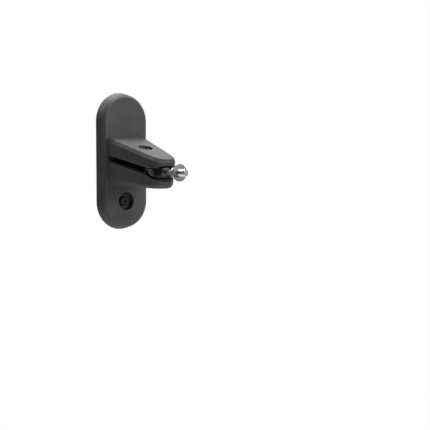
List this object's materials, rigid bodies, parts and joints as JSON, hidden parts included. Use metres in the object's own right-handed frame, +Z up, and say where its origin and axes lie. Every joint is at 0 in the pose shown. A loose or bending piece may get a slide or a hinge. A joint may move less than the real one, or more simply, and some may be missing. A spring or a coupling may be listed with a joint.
{
  "type": "speaker wall bracket",
  "caption": "Wall bracket for a small speaker: a hooked stadium-shaped casting with a forked clamp arm that grips a ball with a threaded stud and lock disc.",
  "frame": {"origin": "centre of the back face that lies on the wall", "axes": "+Z up along the casting's length, +Y into the wall, +X across it; the arm runs along -Y"},
  "size_m": [0.054, 0.1044, 0.13],
  "materials": {
    "casting_black": "fine-textured black powder coat",
    "plated_plate": "zinc-plated pressed steel",
    "plated_nut": "zinc-plated steel",
    "washer_black": "black oxide",
    "screw_black": "black oxide",
    "cup_black": "dark moulded plastic",
    "ball_black": "polished black",
    "stud_steel": "bright plated steel",
    "disc_steel": "turned steel"
  },
  "bodies": {
    "bracket": {"bracket_body": "casting_black", "clamp_jaw": "casting_black", "wall_plate": "plated_plate", "plate_nut": "plated_nut", "lock_washer": "washer_black", "clamp_washer": "washer_black", "clamp_nut": "plated_nut"},
    "cups": {"upper_cup": "cup_black", "lower_cup": "cup_black"},
    "ball": {"ball": "ball_black"},
    "stud": {"stud": "stud_steel"},
    "lock_disc": {"lock_disc": "disc_steel"},
    "clamp_screw": {"clamp_screw": "screw_black"},
    "lock_screw": {"lock_screw": "screw_black"}
  },
  "joints": [
    {"name": "pan", "type": "hinge", "parent": "bracket", "child": "cups", "pos_m": [0, -0.0659, -0.00877], "axis": [0, 0, 1], "range_deg": [-30, 30]},
    {"name": "tilt", "type": "hinge", "parent": "cups", "child": "ball", "pos_m": [0, -0.0659, -0.00877], "axis": [1, 0, 0], "range_deg": [-13, 15]},
    {"name": "roll", "type": "hinge", "parent": "ball", "child": "stud", "pos_m": [0, -0.0659, -0.00877], "axis": [0, -1, 0], "continuous": true},
    {"name": "disc_turn", "type": "hinge", "parent": "stud", "child": "lock_disc", "pos_m": [0, -0.095, -0.00877], "axis": [0, -1, 0], "continuous": true},
    {"name": "clamp_screw_turn", "type": "hinge", "parent": "bracket", "child": "clamp_screw", "pos_m": [0, -0.0424, 0.01335], "axis": [0, -0.2203, 0.9754], "continuous": true},
    {"name": "lock_screw_turn", "type": "hinge", "parent": "bracket", "child": "lock_screw", "pos_m": [0, 0, -0.0377], "axis": [0, -1, 0], "continuous": true}
  ]
}
